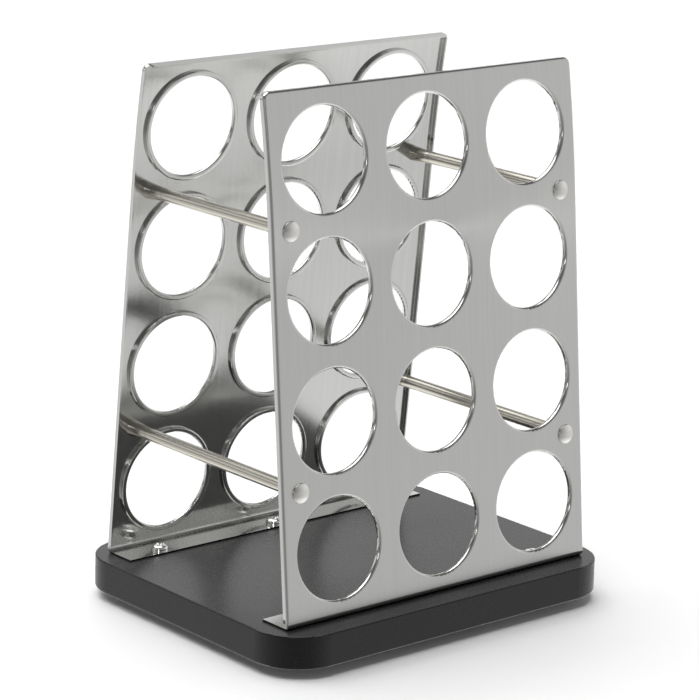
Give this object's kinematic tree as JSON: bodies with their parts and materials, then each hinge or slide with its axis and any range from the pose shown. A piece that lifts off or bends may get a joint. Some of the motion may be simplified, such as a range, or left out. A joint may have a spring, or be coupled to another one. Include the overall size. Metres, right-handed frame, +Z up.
{
  "type": "rotating coffee pod rack",
  "caption": "Free-standing rack that stores coffee pods in round holes of two leaning steel panels on a board that turns on a ball swivel.",
  "frame": {"origin": "centre of the footprint, on the table surface under the foot pads", "axes": "+Z up, +X along the panels to the right seen from the front, -Y towards the front panel's outer face"},
  "size_m": [0.207, 0.167, 0.2658],
  "materials": {
    "brushed_panel": "vertical brushed satin stainless steel",
    "rod_steel": "satin nickel-plated steel",
    "cap_steel": "fine turned nickel-plated steel",
    "bright_screw": "bright nickel plate",
    "black_board": "satin black lacquer on fibreboard",
    "zinc_plate": "zinc-plated pressed steel",
    "zinc_screw": "zinc-plated steel",
    "ball_steel": "polished steel",
    "cage_plastic": "natural nylon",
    "foot_plastic": "fine-grained black plastic",
    "pad_rubber": "matt rubber"
  },
  "bodies": {
    "stand": {"foot_disc": "foot_plastic", "foot_pads": "pad_rubber", "foot_screws": "zinc_screw", "swivel_lower_plate": "zinc_plate", "swivel_rivet": "zinc_plate"},
    "cage": {"ball_cage": "cage_plastic", "bearing_balls": "ball_steel"},
    "carousel": {"base_board": "black_board", "swivel_upper_plate": "zinc_plate", "swivel_board_screws": "zinc_screw", "front_panel": "brushed_panel", "rear_panel": "brushed_panel", "front_flange_screws": "bright_screw", "rear_flange_screws": "bright_screw", "tie_rod_lower_left": "rod_steel", "tie_rod_lower_right": "rod_steel", "tie_rod_upper_left": "rod_steel", "tie_rod_upper_right": "rod_steel", "rod_cap_front_lower_left": "cap_steel", "rod_cap_rear_lower_left": "cap_steel", "rod_cap_front_lower_right": "cap_steel", "rod_cap_rear_lower_right": "cap_steel", "rod_cap_front_upper_left": "cap_steel", "rod_cap_rear_upper_left": "cap_steel", "rod_cap_front_upper_right": "cap_steel", "rod_cap_rear_upper_right": "cap_steel"}
  },
  "joints": [
    {"name": "carousel_spin", "type": "hinge", "parent": "stand", "child": "carousel", "pos_m": [0, 0, 0.005], "axis": [0, 0, 1], "continuous": true},
    {"name": "cage_spin", "type": "hinge", "parent": "stand", "child": "cage", "pos_m": [0, 0, 0.005], "axis": [0, 0, 1], "continuous": true}
  ],
  "couplings": [
    {"joint": "cage_spin", "follows": "carousel_spin", "ratio": 0.5}
  ]
}
